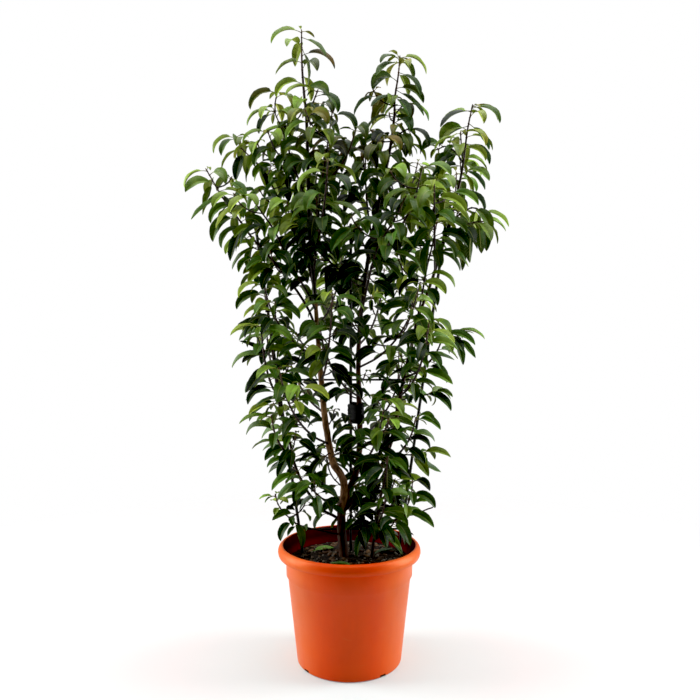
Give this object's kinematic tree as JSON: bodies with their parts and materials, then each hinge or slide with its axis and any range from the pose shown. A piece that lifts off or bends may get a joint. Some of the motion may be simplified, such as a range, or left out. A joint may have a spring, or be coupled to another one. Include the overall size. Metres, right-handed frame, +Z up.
{
  "type": "potted portugal laurel",
  "caption": "Leafy evergreen shrub trained on a small fan trellis, growing in a round tapered pot with a rolled rim.",
  "frame": {"origin": "middle of the pot's foot, on the surface that it stands on", "axes": "+Z up along the pot's axis; +X to the right along the trellis; -Y is the front, seen in the picture"},
  "size_m": [0.6277, 0.3995, 1.2443],
  "materials": {
    "pot": "satin",
    "soil": "matte",
    "bark": "matte",
    "foliage": "satin",
    "trellis": "satin",
    "tie": "matte",
    "fallen": "satin"
  },
  "bodies": {
    "root": {"pot": "pot", "soil": "soil", "trunk": "bark", "leader_left": "foliage", "leader_middle": "foliage", "leader_right": "foliage", "shoot_low_left": "foliage", "shoot_left_inner": "foliage", "shoot_upper_left": "foliage", "shoot_far_left": "foliage", "shoot_front_left": "foliage", "shoot_front_middle": "foliage", "shoot_right_inner": "foliage", "shoot_far_right": "foliage", "shoot_top_left": "foliage", "shoot_middle_back": "foliage", "twig_low_left": "foliage", "twig_low_right": "foliage", "twig_straight_left": "foliage", "second_stem": "foliage", "side_left_1": "foliage", "side_left_2": "foliage", "side_left_3": "foliage", "side_left_4": "foliage", "side_left_5": "foliage", "side_middle_1": "foliage", "side_middle_2": "foliage", "side_middle_3": "foliage", "side_middle_4": "foliage", "side_middle_5": "foliage", "side_right_1": "foliage", "side_right_2": "foliage", "side_right_3": "foliage", "side_right_4": "foliage", "side_right_5": "foliage", "side_low_1": "foliage", "side_low_2": "foliage", "side_low_3": "foliage", "side_low_4": "foliage", "side_high_1": "foliage", "side_high_2": "foliage", "side_high_3": "foliage", "side_high_4": "foliage", "side_high_5": "foliage", "side_high_6": "foliage", "side_high_7": "foliage", "side_high_8": "foliage", "rod_left": "trellis", "rod_middle": "trellis", "rod_right": "trellis", "rung_low": "trellis", "rung_middle": "trellis", "rung_high": "trellis", "tie_left_low": "tie", "tie_left_high": "tie", "tie_middle": "tie", "fallen_leaf_left": "fallen", "fallen_leaf_right": "fallen", "fallen_leaf_front": "fallen"}
  },
  "joints": []
}
